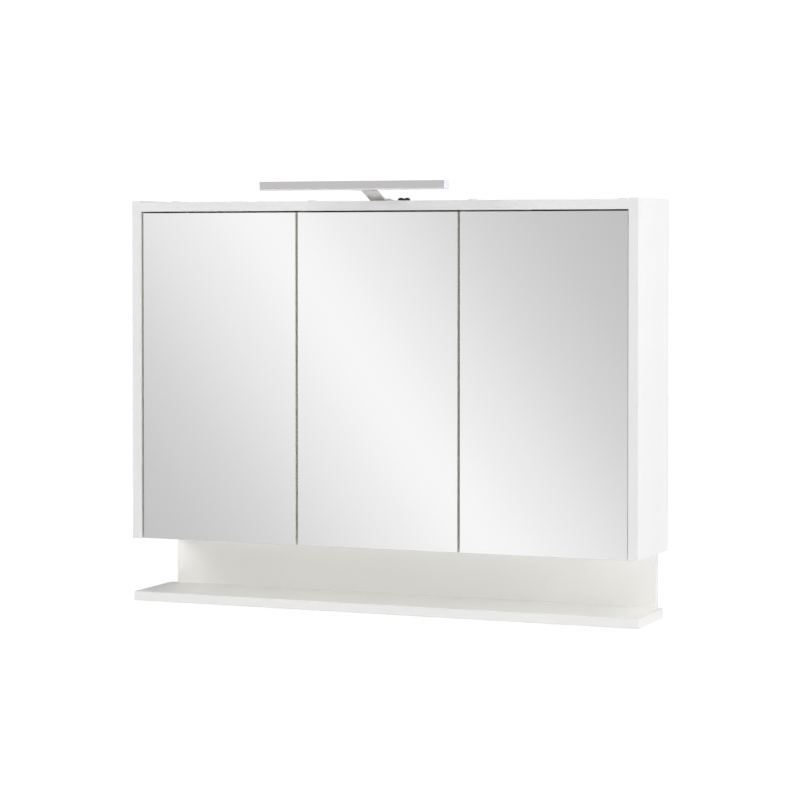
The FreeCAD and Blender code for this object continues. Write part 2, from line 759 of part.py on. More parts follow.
BUMPER_RADIUS = 2.4
BUMPER_GAP = 0.3
BUMPER_STEP = 5.5
BUMPERS_Z = (15, -490)
bumper_x = (-(partition_x + BUMPER_STEP), partition_x - BUMPER_STEP, partition_x + BUMPER_STEP)
finish("door_bumpers", together([
    rod("Y", (x, z), (door_back + BUMPER_GAP, inside_front), BUMPER_RADIUS)
    for x in bumper_x
    for z in BUMPERS_Z
]))

# ---------------------------------------------------------------- lamp
lamp_front_y = -dim("lamp_front")
lamp_back_y = lamp_front_y + dim("lamp_depth")
lamp_half = dim("lamp_length") / 2
body_half = lamp_half - dim("lamp_cap")
lamp_low, lamp_high = dim("lamp_low"), dim("lamp_top")
shell_low = lamp_low + dim("diffuser_drop")
wall = dim("lamp_wall")
BEVEL = 0.8
DIFFUSER_TALL = 4.5
CIRCUIT_END = 3
CIRCUIT_SIDE = 5
CIRCUIT_THICK = 1
CHIP_COUNT = 36
CHIP_HALF = 1.5
CHIP_TALL = 0.8
CHIP_END = 8
BRACKET_BEND = (-160, -200)
BRACKET_RISE = 16.2
BRACKET_FOOT_END = -116
TAB_TOP = 85
TAB_SCREWS_X = (-9, 9)
TAB_SCREW_Z = 82
TAB_SCREW_RADII = (1.2, 2.2)
TAB_SCREW_LENGTH = (1.2, 7.2)
LEAD_HIGH = 81

shell = pad("X", [
    (lamp_front_y, shell_low),
    (lamp_front_y, lamp_high - BEVEL),
    (lamp_front_y + BEVEL, lamp_high),
    (lamp_back_y - BEVEL, lamp_high),
    (lamp_back_y, lamp_high - BEVEL),
    (lamp_back_y, shell_low),
    (lamp_back_y - wall, shell_low),
    (lamp_back_y - wall, lamp_high - wall),
    (lamp_front_y + wall, lamp_high - wall),
    (lamp_front_y + wall, shell_low),
], (-body_half, body_half), "lamp_shell")
tab_screw_face = lamp_back_y + dim("bracket_thick") + TAB_SCREW_LENGTH[0]
tab_screws = [
    screw("Y", (x, TAB_SCREW_Z), tab_screw_face, -1, *TAB_SCREW_RADII, TAB_SCREW_LENGTH)
    for x in TAB_SCREWS_X
]
lead_entry = rod("Y", (0, LEAD_HIGH), (lamp_back_y - wall, lamp_back_y), dim("lead_radius"))
finish("lamp_housing", less(shell, [*bores_for(tab_screws), lead_entry]))
SEAT = 0.1
finish("lamp_diffuser", box(
    (-body_half, body_half),
    (lamp_front_y + wall + SEAT, lamp_back_y - wall - SEAT),
    (lamp_low, lamp_low + DIFFUSER_TALL),
))
cap_profile = [
    (lamp_front_y, lamp_low),
    (lamp_front_y, lamp_high - BEVEL),
    (lamp_front_y + BEVEL, lamp_high),
    (lamp_back_y - BEVEL, lamp_high),
    (lamp_back_y, lamp_high - BEVEL),
    (lamp_back_y, lamp_low),
]
finish("lamp_end_caps", together([
    pad("X", cap_profile, hand_span(hand, body_half, lamp_half)) for hand in HANDS.values()
]))
circuit_top = lamp_high - wall
chip_top = circuit_top - CIRCUIT_THICK
circuit_half = body_half - CIRCUIT_END
circuit_y = (lamp_front_y + CIRCUIT_SIDE, lamp_back_y - CIRCUIT_SIDE)
circuit = box((-circuit_half, circuit_half), circuit_y, (chip_top, circuit_top))
last_chip = body_half - CHIP_END
chip_pitch = last_chip * 2 / (CHIP_COUNT - 1)
lamp_middle_y = (lamp_front_y + lamp_back_y) / 2
chip_y = (lamp_middle_y - CHIP_HALF, lamp_middle_y + CHIP_HALF)
chips = []
for index in range(CHIP_COUNT):
    chip_x = chip_pitch * index - last_chip
    chips.append(box((chip_x - CHIP_HALF, chip_x + CHIP_HALF), chip_y, (chip_top - CHIP_TALL, chip_top)))
finish("led_strip", together([circuit, *chips]))

thick = dim("bracket_thick")
level = top_face + BRACKET_RISE
lean = math.atan2(BRACKET_RISE, BRACKET_BEND[0] - BRACKET_BEND[1])
corner_shift = thick * math.tan(lean / 2)
band = pad("X", [
    (BRACKET_FOOT_END, top_face),
    (BRACKET_BEND[0], top_face),
    (BRACKET_BEND[1], level),
    (lamp_back_y, level),
    (lamp_back_y, TAB_TOP),
    (lamp_back_y + thick, TAB_TOP),
    (lamp_back_y + thick, level + thick),
    (BRACKET_BEND[1] + corner_shift, level + thick),
    (BRACKET_BEND[0] + corner_shift, top_face + thick),
    (BRACKET_FOOT_END, top_face + thick),
], (-(dim("bracket_width") / 2), dim("bracket_width") / 2), "bracket_band")
lead_through = rod("Y", (0, LEAD_HIGH), (lamp_back_y, lamp_back_y + thick), dim("lead_radius"))
finish("lamp_bracket", less(band, [*bores_for(bracket_screws), *bores_for(tab_screws), lead_through]))


# The lead keeps just clear of the arm and the top panel. It crests the arm's upper bend, follows
# the slope and the foot, steps down to the top panel and turns into its hole.
LEAD_CREST_Y = -207.7
LEAD_SLOPE_END_Y = -158.7
LEAD_FOOT_END_Y = -111
LEAD_DOWN_Y = -90
LEAD_OFF_PANEL = 0.05
LEAD_OFF_FOOT = 0.25
LEAD_BENDS = (30, 30, 60, 60, 3.5)


def lead_path():
    """The lead's centre line in the plane X = 0: straight runs joined by tangent arcs."""
    on_top = top_face.value + SIZES["lead_radius"]
    on_foot = on_top + SIZES["bracket_thick"] + LEAD_OFF_FOOT
    corners = [
        (lamp_back_y.value - SIZES["lamp_wall"], LEAD_HIGH),
        (LEAD_CREST_Y, LEAD_HIGH),
        (LEAD_SLOPE_END_Y, on_foot),
        (LEAD_FOOT_END_Y, on_foot),
        (LEAD_DOWN_Y, on_top + LEAD_OFF_PANEL),
        (LEAD_Y, on_top + LEAD_OFF_PANEL),
        (LEAD_Y, top_under.value),
    ]
    points = [FreeCAD.Vector(0, y, z) for y, z in corners]
    edges, start = [], points[0]
    for before, corner, after, bend in zip(points, points[1:], points[2:], LEAD_BENDS):
        to_before = (before - corner).normalize()
        to_after = (after - corner).normalize()
        half_turn = math.acos(max(-1, min(1, -to_before.dot(to_after)))) / 2
        reach = bend * math.tan(half_turn)
        first = corner + to_before * reach
        last = corner + to_after * reach
        middle_way = (to_before + to_after).normalize()
        centre = corner + middle_way * (bend / math.cos(half_turn))
        middle = centre - middle_way * bend
        edges.append(Part.LineSegment(start, first).toShape())
        edges.append(Part.Arc(first, middle, last).toShape())
        start = last
    edges.append(Part.LineSegment(start, points[-1]).toShape())
    return Part.Wire(edges)


lead_wire = lead_path()
lead_section = Part.Wire(Part.makeCircle(
    SIZES["lead_radius"], lead_wire.Vertexes[0].Point, FreeCAD.Vector(0, 1, 0)
))
lead = doc.addObject("Part::Feature", "lead")
lead.Shape = lead_wire.makePipeShell([lead_section], True, False)
finish("lamp_lead", lead)
print("lead length", round(lead_wire.Length, 1), "volume over section times length",
      round(lead.Shape.Volume / (math.pi * SIZES["lead_radius"] ** 2 * lead_wire.Length), 4))

finish("lamp_screws", together([*bracket_screws, *tab_screws]))
clamp_x = (-CLAMP_HALF_WIDE, CLAMP_HALF_WIDE)
clamp_y = (CLAMP_Y - CLAMP_HALF_DEEP, CLAMP_Y + CLAMP_HALF_DEEP)
clamp_block = box(clamp_x, clamp_y, (top_face, top_face + CLAMP_TALL))
finish("lead_clamp", less(clamp_block, [*bores_for(clamp_screws), lead]))
finish("clamp_screws", together(clamp_screws))
DRIVER_HALF = 65
DRIVER_Y = (-78, -34)
DRIVER_TALL = 22
finish("led_driver", box((-DRIVER_HALF, DRIVER_HALF), DRIVER_Y, (top_under - DRIVER_TALL, top_under)))

# ---------------------------------------------------------------- switch and socket box
BOX_WIDE = 110
BOX_TALL = 40
BOX_FRONT_Y = -143
BOX_BACK_Y = -83
COVER_THICK = 2
BOX_WALL = 2
ROCKER_FROM_WALL = 30
SOCKET_FROM_WALL = 80
SOCKET_RADIUS = 17
SOCKET_PLAY = 0.1
SOCKET_WALL = 2
SOCKET_RECESS = 12
SOCKET_DEEP = 20
CONTACT_STEP = 9.5
CONTACT_RADIUS = 2.4
CONTACT_END = 18
ROCKER_HALF = 9.8
ROCKER_HALF_TALL = 9.4
ROCKER_RIDGE = 6.5
ROCKER_PLAY = 0.3
OPENING_HALF = 10.4
LUG_GAP = 0.4
LUG_WIDE = 3
LUG_HALF = 4
PIVOT_Y = -141
STUB_RADIUS = 1.2
STUB_OUT = 2.2
ROCKER_TILT = 6

box_start = partition_x + half_board
box_middle_z = top_under - BOX_TALL / 2
box_x = (box_start, box_start + BOX_WIDE)
box_z = (top_under - BOX_TALL, top_under)
case_blank = box(box_x, (BOX_FRONT_Y, BOX_BACK_Y), box_z)
case_hollow = box(
    (box_x[0] + BOX_WALL, box_x[1] - BOX_WALL),
    (BOX_FRONT_Y, BOX_BACK_Y - BOX_WALL),
    (box_z[0] + BOX_WALL, box_z[1] - BOX_WALL),
)
finish("power_box", less(case_blank, [case_hollow]))
rocker_x = box_start + ROCKER_FROM_WALL
socket_x = box_start + SOCKET_FROM_WALL
cover_plate = box(box_x, (BOX_FRONT_Y - COVER_THICK, BOX_FRONT_Y), box_z)
lug_y = (BOX_FRONT_Y, PIVOT_Y + LUG_HALF)
lug_z = (box_middle_z - LUG_HALF, box_middle_z + LUG_HALF)
lug_near = ROCKER_HALF + LUG_GAP
lug_far = ROCKER_HALF + LUG_WIDE
lugs = [
    box((rocker_x + near, rocker_x + far), lug_y, lug_z)
    for near, far in ((-lug_far, -lug_near), (lug_near, lug_far))
]
cover_y = (BOX_FRONT_Y - COVER_THICK, BOX_FRONT_Y)
opening_reach = ROCKER_HALF + ROCKER_PLAY
opening = box(
    (rocker_x - opening_reach, rocker_x + opening_reach),
    cover_y,
    (box_middle_z - OPENING_HALF, box_middle_z + OPENING_HALF),
)
socket_place = (socket_x, box_middle_z)
socket_hole = rod("Y", socket_place, cover_y, SOCKET_RADIUS + SOCKET_PLAY)
pivot_place = (PIVOT_Y, box_middle_z)
pivot_bore_x = (rocker_x - lug_far, rocker_x + lug_far)
pivot_bore = rod("X", pivot_place, pivot_bore_x, STUB_RADIUS + dim("pin_play"))
finish("power_box_cover", less(joined([cover_plate, *lugs]), [opening, socket_hole, pivot_bore]))
socket_block = rod("Y", socket_place, (cover_y[0], BOX_FRONT_Y + SOCKET_DEEP), SOCKET_RADIUS)
recess = rod("Y", socket_place, (cover_y[0], BOX_FRONT_Y + SOCKET_RECESS), SOCKET_RADIUS - SOCKET_WALL)
contact_y = (BOX_FRONT_Y + SOCKET_RECESS, BOX_FRONT_Y + CONTACT_END)
contacts = [
    rod("Y", (socket_x + step, box_middle_z), contact_y, CONTACT_RADIUS)
    for step in (-CONTACT_STEP, CONTACT_STEP)
]
finish("socket_insert", less(socket_block, [recess, *contacts]))

# The rocker's section through its pivot: two faces that meet at a ridge in front, and a narrow back.
ROCKER_UPPER_HALF = (
    (-5.5, ROCKER_HALF_TALL),
    (2, ROCKER_HALF_TALL - 1.5),
    (4, 3),
)
upper_half = [(PIVOT_Y + deep, box_middle_z + rise) for deep, rise in ROCKER_UPPER_HALF]
lower_half = [(PIVOT_Y + deep, box_middle_z - rise) for deep, rise in reversed(ROCKER_UPPER_HALF)]
ridge = (PIVOT_Y - ROCKER_RIDGE, box_middle_z)
rocker_span = (rocker_x - ROCKER_HALF, rocker_x + ROCKER_HALF)
rocker = pad("X", [ridge, *upper_half, *lower_half], rocker_span)
stub_reach = ROCKER_HALF + STUB_OUT
stubs = rod("X", pivot_place, (rocker_x - stub_reach, rocker_x + stub_reach), STUB_RADIUS)
rocker_whole = joined([rocker, stubs])
doc.recompute()
rocker_rest = doc.addObject("Part::Feature", "rocker_rest")
rocker_rest.Shape = rocker_whole.Shape.rotated(
    FreeCAD.Vector(0, PIVOT_Y, box_middle_z.value), FreeCAD.Vector(1, 0, 0), ROCKER_TILT
)
finish("switch_rocker", rocker_rest)

# ---------------------------------------------------------------- checks and files
doc.recompute()
broken = [thing.Label for thing in doc.Objects if {"Invalid", "Error"} & set(thing.State)]
if broken:
    raise RuntimeError(f"these objects failed to recompute: {broken}")
for thing in finished:
    if thing.Shape.isNull() or not thing.Shape.isValid():
        raise RuntimeError(f"{thing.Label} has no valid shape")

os.makedirs("parts", exist_ok=True)
for thing in finished:
    thing.Shape.exportStep(os.path.join("parts", f"{thing.Label}.step"))
print(len(finished), "nodes written")
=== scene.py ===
import json
import math

import bmesh
import bpy
from mathutils import Euler, Matrix, Vector


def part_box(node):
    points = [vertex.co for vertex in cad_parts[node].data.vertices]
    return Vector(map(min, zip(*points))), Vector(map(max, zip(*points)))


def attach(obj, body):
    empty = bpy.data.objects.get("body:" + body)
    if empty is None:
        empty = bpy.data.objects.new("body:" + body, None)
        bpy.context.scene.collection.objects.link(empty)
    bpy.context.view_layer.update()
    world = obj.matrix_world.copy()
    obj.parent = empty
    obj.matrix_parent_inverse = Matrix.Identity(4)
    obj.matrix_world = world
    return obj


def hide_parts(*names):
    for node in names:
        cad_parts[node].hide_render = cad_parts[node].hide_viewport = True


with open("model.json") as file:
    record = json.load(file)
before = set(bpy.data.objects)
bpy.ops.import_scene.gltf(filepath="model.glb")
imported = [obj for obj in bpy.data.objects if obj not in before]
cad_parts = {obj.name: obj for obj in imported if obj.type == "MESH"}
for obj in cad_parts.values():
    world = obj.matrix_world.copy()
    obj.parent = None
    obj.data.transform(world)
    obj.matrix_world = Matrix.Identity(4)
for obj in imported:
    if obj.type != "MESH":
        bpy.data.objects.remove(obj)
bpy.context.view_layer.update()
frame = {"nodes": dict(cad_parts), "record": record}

NODES = frame["nodes"]
SLOT_OF = {row["node"]: row["material_slot"] for row in frame["record"]["subparts"]}
MM = 0.001
SIDES = ("left", "middle", "right")

# Axis numbers.
Y, Z = 1, 2

# A surface faces forward when its normal's Y is below this.
FACING_FORWARD = -0.6


# ---------------------------------------------------------------- shader helpers

class Shader:
    """A node material being built: one Principled surface and the nodes that feed it."""

    def __init__(self, name):
        self.material = bpy.data.materials.new(name)
        self.material.use_nodes = True
        self.tree = self.material.node_tree
        self.surface = self.tree.nodes["Principled BSDF"]
        where = self.add("ShaderNodeTexCoord")
        self.place = where.outputs["Object"]
        self.normal = where.outputs["Normal"]

    def add(self, kind, **settings):
        node = self.tree.nodes.new(kind)
        for key, value in settings.items():
            setattr(node, key, value)
        return node

    def link(self, source, target):
        self.tree.links.new(source, target)

    def set(self, **values):
        for key, value in values.items():
            self.surface.inputs[key.replace("_", " ")].default_value = value

    def stretched(self, scale):
        """Object coordinates scaled by three factors, for grain and brushing."""
        mapping = self.add("ShaderNodeMapping")
        mapping.inputs["Scale"].default_value = scale
        self.link(self.place, mapping.inputs["Vector"])
        return mapping.outputs["Vector"]

    def noise(self, scale, detail=3.0, rough=0.55, place=None):
        node = self.add("ShaderNodeTexNoise")
        node.inputs["Scale"].default_value = scale
        node.inputs["Detail"].default_value = detail
        node.inputs["Roughness"].default_value = rough
        self.link(place or self.place, node.inputs["Vector"])
        return node.outputs["Fac"]

    def ramp(self, value, stops):
        """Colours between stops of (position, colour), read at value."""
        node = self.add("ShaderNodeValToRGB")
        elements = node.color_ramp.elements
        while len(elements) < len(stops):
            elements.new(0.5)
        for element, (at, colour) in zip(elements, stops):
            element.position = at
            element.color = (*colour, 1.0)
        self.link(value, node.inputs["Fac"])
        return node.outputs["Color"]

    def spread(self, value, low, high, source=(0.3, 0.7)):
        """Value moved from its source range to low..high."""
        node = self.add("ShaderNodeMapRange")
        node.inputs["From Min"].default_value = source[0]
        node.inputs["From Max"].default_value = source[1]
        node.inputs["To Min"].default_value = low
        node.inputs["To Max"].default_value = high
        self.link(value, node.inputs["Value"])
        return node.outputs["Result"]

    def bump(self, height, strength, depth):
        node = self.add("ShaderNodeBump")
        node.inputs["Strength"].default_value = strength
        node.inputs["Distance"].default_value = depth
        self.link(height, node.inputs["Height"])
        self.link(node.outputs["Normal"], self.surface.inputs["Normal"])

    def drifting(self, colour, scale, change):
        """A colour that drifts by a small share over a noise of that scale."""
        low, high = tinted(colour, 1 - change), tinted(colour, 1 + change)
        return self.ramp(self.noise(scale), [(0.35, low), (0.65, high)])

    # Painted shade: darkens every forward-facing face by a factor.
    def shaded_in_front(self, colour, shade_factor):
        """The colour, multiplied by a shade factor where the surface faces forward: painted shade."""
        split = self.add("ShaderNodeSeparateXYZ")
        self.link(self.normal, split.inputs["Vector"])
        forward = self.add("ShaderNodeMath", operation="LESS_THAN")
        forward.inputs[1].default_value = FACING_FORWARD
        self.link(split.outputs["Y"], forward.inputs[0])
        mix = self.add("ShaderNodeMix", data_type="RGBA", blend_type="MULTIPLY")
        self.link(forward.outputs["Value"], mix.inputs["Factor"])
        self.link(colour, mix.inputs["A"])
        mix.inputs["B"].default_value = (*shade_factor, 1.0)
        return mix.outputs["Result"]

    def colour(self, socket):
        self.link(socket, self.surface.inputs["Base Color"])

    def roughness(self, socket):
        self.link(socket, self.surface.inputs["Roughness"])


def tinted(colour, factor):
    """The colour made brighter or darker by a factor."""
    return tuple(min(1.0, c * factor) for c in colour)


def two_tone(shader, colour, scale, change):
    """Paints the surface with a drifting colour."""
    shader.colour(shader.drifting(colour, scale, change))


def laminate(name, colour, front_shade=None):
    """Melamine-faced board. Where a factor is given, its forward-facing front edges are multiplied by
    it, a painted shade that darkens them.
    """
    s = Shader(name)
    face = s.drifting(colour, scale=9.0, change=0.006)
    s.colour(s.shaded_in_front(face, front_shade) if front_shade else face)
    s.roughness(s.spread(s.noise(55.0), low=0.33, high=0.42))
    s.bump(s.noise(1500.0, detail=2.0), strength=0.25, depth=0.06 * MM)
    s.set(IOR=1.5)
    return s.material


def plastic(name, colour, low, high):
    """Moulded plastic, between two roughnesses."""
    s = Shader(name)
    two_tone(s, colour, scale=30.0, change=0.01)
    s.roughness(s.spread(s.noise(120.0), low, high))
    s.bump(s.noise(2600.0, detail=2.0), strength=0.2, depth=0.05 * MM)
    s.set(IOR=1.47)
    return s.material


def metal(name, colour, low, high, scale, stretch=(1, 1, 1), change=0.05):
    """Metal between two roughnesses, with grain of that scale, stretched if it is brushed."""
    s = Shader(name)
    grain = s.noise(scale, detail=4.0, place=s.stretched(stretch))
    s.colour(s.ramp(grain, [(0.3, tinted(colour, 1 - change)), (0.7, tinted(colour, 1 + change))]))
    s.roughness(s.spread(grain, low, high))
    s.bump(grain, strength=0.15, depth=0.02 * MM)
    s.set(Metallic=1.0)
    return s.material


def beech():
    """Beech dowels, with the grain along X."""
    s = Shader("beech_wood")
    grain = s.noise(220.0, detail=6.0, place=s.stretched((1.0, 6.0, 6.0)))
    s.colour(s.ramp(grain, [(0.3, (0.48, 0.31, 0.17)), (0.7, (0.64, 0.45, 0.27))]))
    s.roughness(s.spread(grain, low=0.55, high=0.7))
    s.bump(grain, strength=0.4, depth=0.1 * MM)
    return s.material


def clear_glass():
    """The clear faces of the glass shelves."""
    s = Shader("shelf_glass")
    two_tone(s, (0.86, 0.95, 0.91), scale=20.0, change=0.01)
    s.roughness(s.spread(s.noise(30.0), low=0.01, high=0.03))
    s.set(Transmission_Weight=1.0, IOR=1.5)
    return s.material


def glass_edge():
    """The green that glass shows at its polished edges."""
    s = Shader("glass_polished_edge")
    two_tone(s, (0.42, 0.72, 0.60), scale=60.0, change=0.05)
    s.roughness(s.spread(s.noise(160.0), low=0.06, high=0.14))
    s.set(Transmission_Weight=0.6, IOR=1.5)
    return s.material


def mirror_face():
    """The silvered face of the mirrors."""
    s = Shader("mirror_silver")
    two_tone(s, (0.97, 0.972, 0.97), scale=4.0, change=0.002)
    s.roughness(s.spread(s.noise(8.0), low=0.006, high=0.012))
    s.set(Metallic=1.0)
    return s.material


def mirror_edge():
    """The greenish polished edge of the mirrors."""
    s = Shader("mirror_polished_edge")
    two_tone(s, (0.66, 0.67, 0.52), scale=60.0, change=0.05)
    s.roughness(s.spread(s.noise(200.0), low=0.12, high=0.22))
    s.set(IOR=1.5)
    return s.material


def mirror_back():
    """The grey paint behind the silver."""
    s = Shader("mirror_back_paint")
    two_tone(s, (0.35, 0.36, 0.37), scale=40.0, change=0.03)
    s.roughness(s.spread(s.noise(200.0), low=0.5, high=0.6))
    return s.material


# The boards' tones. A front shade multiplies its board's tone on the front edges: painted shade that
# darkens the forward-facing edges, not the edging's own tone.
WHITE = (0.92, 0.918, 0.888)
# Painted shade: the back strip and lower shelf get a warmer white, the warm tint of bounced light in
# their shade.
SHADE_TINTED_WHITE = (0.926, 0.918, 0.872)
# Painted shade on the front edges: factors that darken the boards' forward-facing faces.
FRONT_SHADE = (0.79, 0.79, 0.79)
SHELF_FRONT_SHADE = (0.825, 0.825, 0.825)
BRUSHED = dict(scale=60.0, stretch=(1, 40, 40), change=0.02)

# One look for each material slot of the record.
LOOKS = {
    "white_laminate": laminate("white_laminate", WHITE),
    "white_hardboard": laminate("white_hardboard", (0.82, 0.82, 0.80)),
    "clear_glass": clear_glass(),
    "mirror_glass": mirror_face(),
    "white_plastic": plastic("white_plastic", (0.83, 0.83, 0.82), 0.32, 0.42),
    "clear_plastic": plastic("bumper_plastic", (0.80, 0.81, 0.80), 0.2, 0.3),
    "diffuser_plastic": plastic("opal_diffuser", (0.69, 0.69, 0.695), 0.4, 0.5),
    "black_plastic": plastic("black_plastic", (0.012, 0.012, 0.013), 0.35, 0.5),
    "cast_zinc": metal("cast_zinc", (0.55, 0.55, 0.56), 0.38, 0.5, scale=900.0),
    "zinc_steel": metal("zinc_steel", (0.62, 0.63, 0.65), 0.25, 0.36, scale=700.0),
    "nickel_steel": metal("nickel_steel", (0.68, 0.66, 0.63), 0.2, 0.3, scale=500.0),
    "beech": beech(),
    "silver_aluminium": metal("satin_aluminium", (0.90, 0.882, 0.874), 0.34, 0.42, **BRUSHED),
    "lamp_cap_plastic": plastic("lamp_cap_plastic", (0.86, 0.86, 0.90), 0.3, 0.4),
    "led_board": plastic("led_board", (0.86, 0.86, 0.80), 0.3, 0.45),
}
# Boards with painted shade: darkened front edges, the warm shade tint, or both.
FRONT_SHADED_BOARD = laminate("white_laminate_front_shaded", WHITE, FRONT_SHADE)
SHADE_TINTED_BOARD = laminate("shade_tinted_white_laminate", SHADE_TINTED_WHITE)
SHADE_TINTED_SHELF = laminate("warm_white_laminate_front_shaded", SHADE_TINTED_WHITE, SHELF_FRONT_SHADE)
BRIGHT_ALUMINIUM = metal("bright_aluminium", (0.965, 0.955, 0.94), 0.34, 0.42, **BRUSHED)
MIRROR_EDGE = mirror_edge()
MIRROR_BACK = mirror_back()
GLASS_EDGE = glass_edge()

# ---------------------------------------------------------------- the CAD nodes' finish

BOARD_NODES = [n for n in NODES if SLOT_OF[n] == "white_laminate"]
# Nodes whose look isn't their slot's plain one. Most are boards with painted shade: darker front
# edges, and a warm shade tint on the back strip and lower shelf.
OWN_LOOKS = {
    "side_panel_left": FRONT_SHADED_BOARD, "side_panel_right": FRONT_SHADED_BOARD, "top_panel": FRONT_SHADED_BOARD,
    "bottom_panel": FRONT_SHADED_BOARD, "partition_left": FRONT_SHADED_BOARD, "partition_right": FRONT_SHADED_BOARD,
    "lower_shelf": SHADE_TINTED_SHELF, "back_strip": SHADE_TINTED_BOARD,
    "lamp_bracket": BRIGHT_ALUMINIUM,
}
# Edge rounding of the boards and of other nodes, in millimetres.
BOARD_ROUNDING = 0.45
ROUNDING = {
    "power_box": 1.2, "power_box_cover": 1.0, "socket_insert": 0.5, "switch_rocker": 0.6,
    "led_driver": 1.5, "hanger_housings": 0.8, "cam_cover_caps": 0.4, "lamp_housing": 0.35,
    "lamp_bracket": 0.35, "lamp_end_caps": 0.35, "lamp_diffuser": 0.3, "lead_clamp": 0.5,
    "back_panel": 0.2, "wall_plates": 0.3, "hinge_plates": 0.3,
}
WELD_DISTANCE = 0.01 * MM
SHARP_EDGE = math.radians(40)


def softened(obj, width):
    """Small rounding on a piece's sharp edges, done with modifiers only."""
    weld = obj.modifiers.new("weld", "WELD")
    weld.merge_threshold = WELD_DISTANCE
    bevel = obj.modifiers.new("edges", "BEVEL")
    bevel.width = width
    bevel.segments = 2
    bevel.limit_method = "ANGLE"
    bevel.angle_limit = SHARP_EDGE
    bevel.use_clamp_overlap = True
    bevel.harden_normals = False
    normals = obj.modifiers.new("normals", "WEIGHTED_NORMAL")
    normals.keep_sharp = True


for name, node in NODES.items():
    node.data.materials.clear()
    node.data.materials.append(OWN_LOOKS.get(name) or LOOKS[SLOT_OF[name]])
    if name in BOARD_NODES:
        softened(node, BOARD_ROUNDING * MM)
    elif name in ROUNDING:
        softened(node, ROUNDING[name] * MM)

# ---------------------------------------------------------------- mirrors and glass with worked edges

ARRIS = 0.4 * MM
SAME_PLANE = 0.001 * MM
LOW_FACE, EDGE_FACES, HIGH_FACE = 0, 1, 2


def worked_sheet(name, low, high, flat_axis, looks):
    """A sheet with a fine arris all round: looks are its low face, its edges and its high face."""
    mesh = bmesh.new()
    bmesh.ops.create_cube(mesh, size=1.0)
    centre, size = (low + high) / 2, high - low
    for vertex in mesh.verts:
        vertex.co = Vector(centre[i] + vertex.co[i] * size[i] for i in range(3))

    def on_plane(vertices, at):
        return all(abs(v.co[flat_axis] - at) < SAME_PLANE for v in vertices)

    bottom, top = low[flat_axis], high[flat_axis]
    rims = [e for e in mesh.edges if on_plane(e.verts, bottom) or on_plane(e.verts, top)]
    bmesh.ops.bevel(mesh, geom=rims, offset=ARRIS, segments=1, affect="EDGES")
    mesh.normal_update()
    for face in mesh.faces:
        face.material_index = EDGE_FACES
        if on_plane(face.verts, bottom):
            face.material_index = LOW_FACE
        elif on_plane(face.verts, top):
            face.material_index = HIGH_FACE
    data = bpy.data.meshes.new(name)
    mesh.to_mesh(data)
    mesh.free()
    for look in looks:
        data.materials.append(look)
    obj = bpy.data.objects.new(name, data)
    bpy.context.scene.collection.objects.link(obj)
    return obj


def mirror_piece(side):
    """The door's mirror: silvered face, polished greenish edge, painted back."""
    low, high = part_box(side + "_mirror")
    looks = (LOOKS["mirror_glass"], MIRROR_EDGE, MIRROR_BACK)
    obj = worked_sheet(side + "_mirror_sheet", low, high, Y, looks)
    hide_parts(side + "_mirror")
    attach(obj, side + "_door")


def glass_pieces(side):
    """The two glass shelves of one compartment, clear on their faces and green at their edges."""
    name = "glass_shelves_" + side
    low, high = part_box(name)
    levels = sorted({round(v.co.z, 5) for v in NODES[name].data.vertices})
    looks = (LOOKS["clear_glass"], GLASS_EDGE, LOOKS["clear_glass"])
    for label, under, top in (("lower", *levels[:2]), ("upper", *levels[-2:])):
        corner = Vector((low.x, low.y, under))
        far_corner = Vector((high.x, high.y, top))
        obj = worked_sheet(f"{side}_{label}_glass_shelf", corner, far_corner, Z, looks)
        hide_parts(name)
        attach(obj, "carcass")


for side in SIDES:
    mirror_piece(side)
    glass_pieces(side)

# ---------------------------------------------------------------- studio

CAMERA_PLACE = Vector((1.6432, -4.1173, -0.0167))
CAMERA_TURN = (math.radians(88.682), 0.0, math.radians(22.07))
CAMERA_LENS = 116.877
CAMERA_SENSOR = 36.0
CAMERA_SHIFT_Y = -0.1178
CAMERA_REACH = (0.05, 200.0)

FLOOR_Z = -1.9
FLOOR_SIZE = 60.0
FLOOR_COLOUR = (0.9, 0.9, 0.9)


def studio_floor():
    """A large pale floor under the wall-hung cabinet, not seen in the mirrors."""
    mesh = bmesh.new()
    bmesh.ops.create_grid(mesh, x_segments=2, y_segments=2, size=FLOOR_SIZE)
    data = bpy.data.meshes.new("studio_floor")
    mesh.to_mesh(data)
    mesh.free()
    obj = bpy.data.objects.new("studio_floor", data)
    obj.location.z = FLOOR_Z
    bpy.context.scene.collection.objects.link(obj)
    s = Shader("studio_floor")
    two_tone(s, FLOOR_COLOUR, scale=0.6, change=0.01)
    s.roughness(s.spread(s.noise(2.0), low=0.8, high=0.9))
    s.set(Emission_Color=(1.0, 1.0, 1.0, 1.0))
    direct = s.add("ShaderNodeLightPath").outputs["Is Camera Ray"]
    s.link(direct, s.surface.inputs["Emission Strength"])
    data.materials.append(s.material)
    obj.visible_glossy = False


LIGHT_TINT = (0.985, 0.988, 1.03)
LIT_POINT = Vector((0.0, -0.1, -0.3))
# Name, place, width, height and power of each soft light.
LIGHTS = (
    ("light_right", (3.6, -0.9, -0.2), 2.6, 2.6, 80),
    ("light_right_top", (2.2, -0.6, 2.6), 2.4, 2.0, 54),
    ("light_front_right", (2.6, -3.4, 1.4), 2.4, 2.0, 10),
    ("light_front_left", (-2.6, -3.4, 1.4), 2.4, 2.0, 99),
    ("light_front", (0.0, -4.3, -0.45), 2.4, 1.2, 19),
    ("light_front_low", (0.0, -3.4, -1.5), 3.0, 1.2, 28),
    ("light_front_high", (0.0, -2.6, 2.3), 3.0, 1.4, 10),
)


